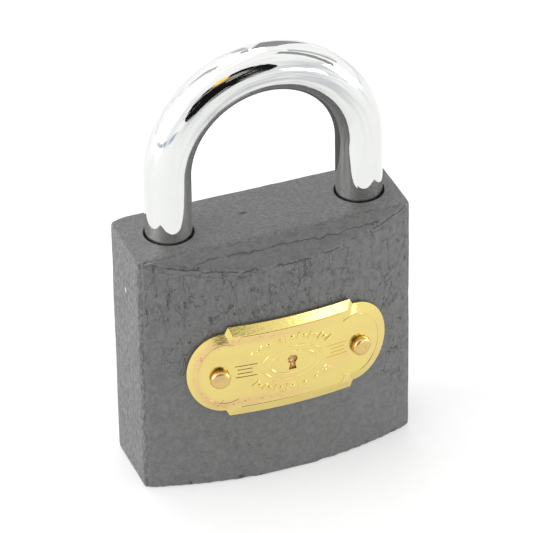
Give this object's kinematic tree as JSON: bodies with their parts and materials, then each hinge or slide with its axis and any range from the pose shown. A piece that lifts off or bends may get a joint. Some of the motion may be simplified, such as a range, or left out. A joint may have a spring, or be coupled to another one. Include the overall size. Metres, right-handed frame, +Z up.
{
  "type": "padlock",
  "caption": "Solid-body padlock with a round steel shackle, a riveted cover plate over the pin chambers, and a keyway in the base.",
  "frame": {"origin": "middle of the box of the whole closed lock, on the plane of its flat bottom", "axes": "+Z up along the shackle's legs, +X from the shackle's heel to its toe, -Y out of the face with the cover plate"},
  "size_m": [0.05, 0.0241, 0.0805],
  "materials": {
    "crackle_paint": "grey crackle lacquer, semi-matt, fine dark cracks",
    "bright_chrome": "polished chrome plate",
    "plate_brass": "stamped sheet brass, bright lacquered, lightly tarnished at the rim",
    "rivet_brass": "round rivet heads, worn bright",
    "cylinder_brass": "machined",
    "plain_steel": "turned, lightly oiled",
    "spring_steel": "drawn wire"
  },
  "bodies": {
    "case": {"body": "crackle_paint", "cover_plate": "plate_brass", "plate_rivet_left": "rivet_brass", "plate_rivet_right": "rivet_brass", "bore_plug": "crackle_paint", "shackle_retaining_pin": "plain_steel", "cylinder_retaining_pin": "plain_steel", "shackle_spring": "spring_steel", "bolt_spring": "spring_steel", "pin_spring_1": "spring_steel", "pin_spring_2": "spring_steel", "pin_spring_3": "spring_steel", "pin_spring_4": "spring_steel"},
    "shackle": {"shackle": "bright_chrome"},
    "cylinder": {"cylinder_plug": "cylinder_brass", "drive_pin": "plain_steel"},
    "bolt": {"locking_bolt": "plain_steel"},
    "key_pin_1": {"key_pin_1": "cylinder_brass"},
    "driver_pin_1": {"driver_pin_1": "plain_steel"},
    "key_pin_2": {"key_pin_2": "cylinder_brass"},
    "driver_pin_2": {"driver_pin_2": "plain_steel"},
    "key_pin_3": {"key_pin_3": "cylinder_brass"},
    "driver_pin_3": {"driver_pin_3": "plain_steel"},
    "key_pin_4": {"key_pin_4": "cylinder_brass"},
    "driver_pin_4": {"driver_pin_4": "plain_steel"}
  },
  "joints": [
    {"name": "shackle_lift", "type": "slide", "parent": "case", "child": "shackle", "axis": [0, 0, 1], "range_m": [0, 0.0125], "deforming": ["shackle_spring"]},
    {"name": "plug_turn", "type": "hinge", "parent": "case", "child": "cylinder", "pos_m": [0.00075, 0.00267, 0], "axis": [0, 0, 1], "range_deg": [0, 90]},
    {"name": "bolt_slide", "type": "slide", "parent": "case", "child": "bolt", "axis": [1, 0, 0], "range_m": [0, 0.00312], "deforming": ["bolt_spring"]},
    {"name": "key_pin_1_drop", "type": "slide", "parent": "cylinder", "child": "key_pin_1", "axis": [1, 0, 0], "range_m": [0, 0.0006]},
    {"name": "driver_pin_1_push", "type": "slide", "parent": "case", "child": "driver_pin_1", "axis": [0, -1, 0], "range_m": [0, 0.0008], "stiffness_N_per_m": 60, "springref_m": -0.002, "deforming": ["pin_spring_1"]},
    {"name": "key_pin_2_drop", "type": "slide", "parent": "cylinder", "child": "key_pin_2", "axis": [1, 0, 0], "range_m": [0, 0.0006]},
    {"name": "driver_pin_2_push", "type": "slide", "parent": "case", "child": "driver_pin_2", "axis": [0, -1, 0], "range_m": [0, 0.0008], "stiffness_N_per_m": 60, "springref_m": -0.002, "deforming": ["pin_spring_2"]},
    {"name": "key_pin_3_drop", "type": "slide", "parent": "cylinder", "child": "key_pin_3", "axis": [1, 0, 0], "range_m": [0, 0.0006]},
    {"name": "driver_pin_3_push", "type": "slide", "parent": "case", "child": "driver_pin_3", "axis": [0, -1, 0], "range_m": [0, 0.0008], "stiffness_N_per_m": 60, "springref_m": -0.002, "deforming": ["pin_spring_3"]},
    {"name": "key_pin_4_drop", "type": "slide", "parent": "cylinder", "child": "key_pin_4", "axis": [1, 0, 0], "range_m": [0, 0.0006]},
    {"name": "driver_pin_4_push", "type": "slide", "parent": "case", "child": "driver_pin_4", "axis": [0, -1, 0], "range_m": [0, 0.0008], "stiffness_N_per_m": 60, "springref_m": -0.002, "deforming": ["pin_spring_4"]}
  ],
  "couplings": [
    {"joint": "bolt_slide", "follows": "plug_turn", "m_per_rad": 0.00198}
  ]
}
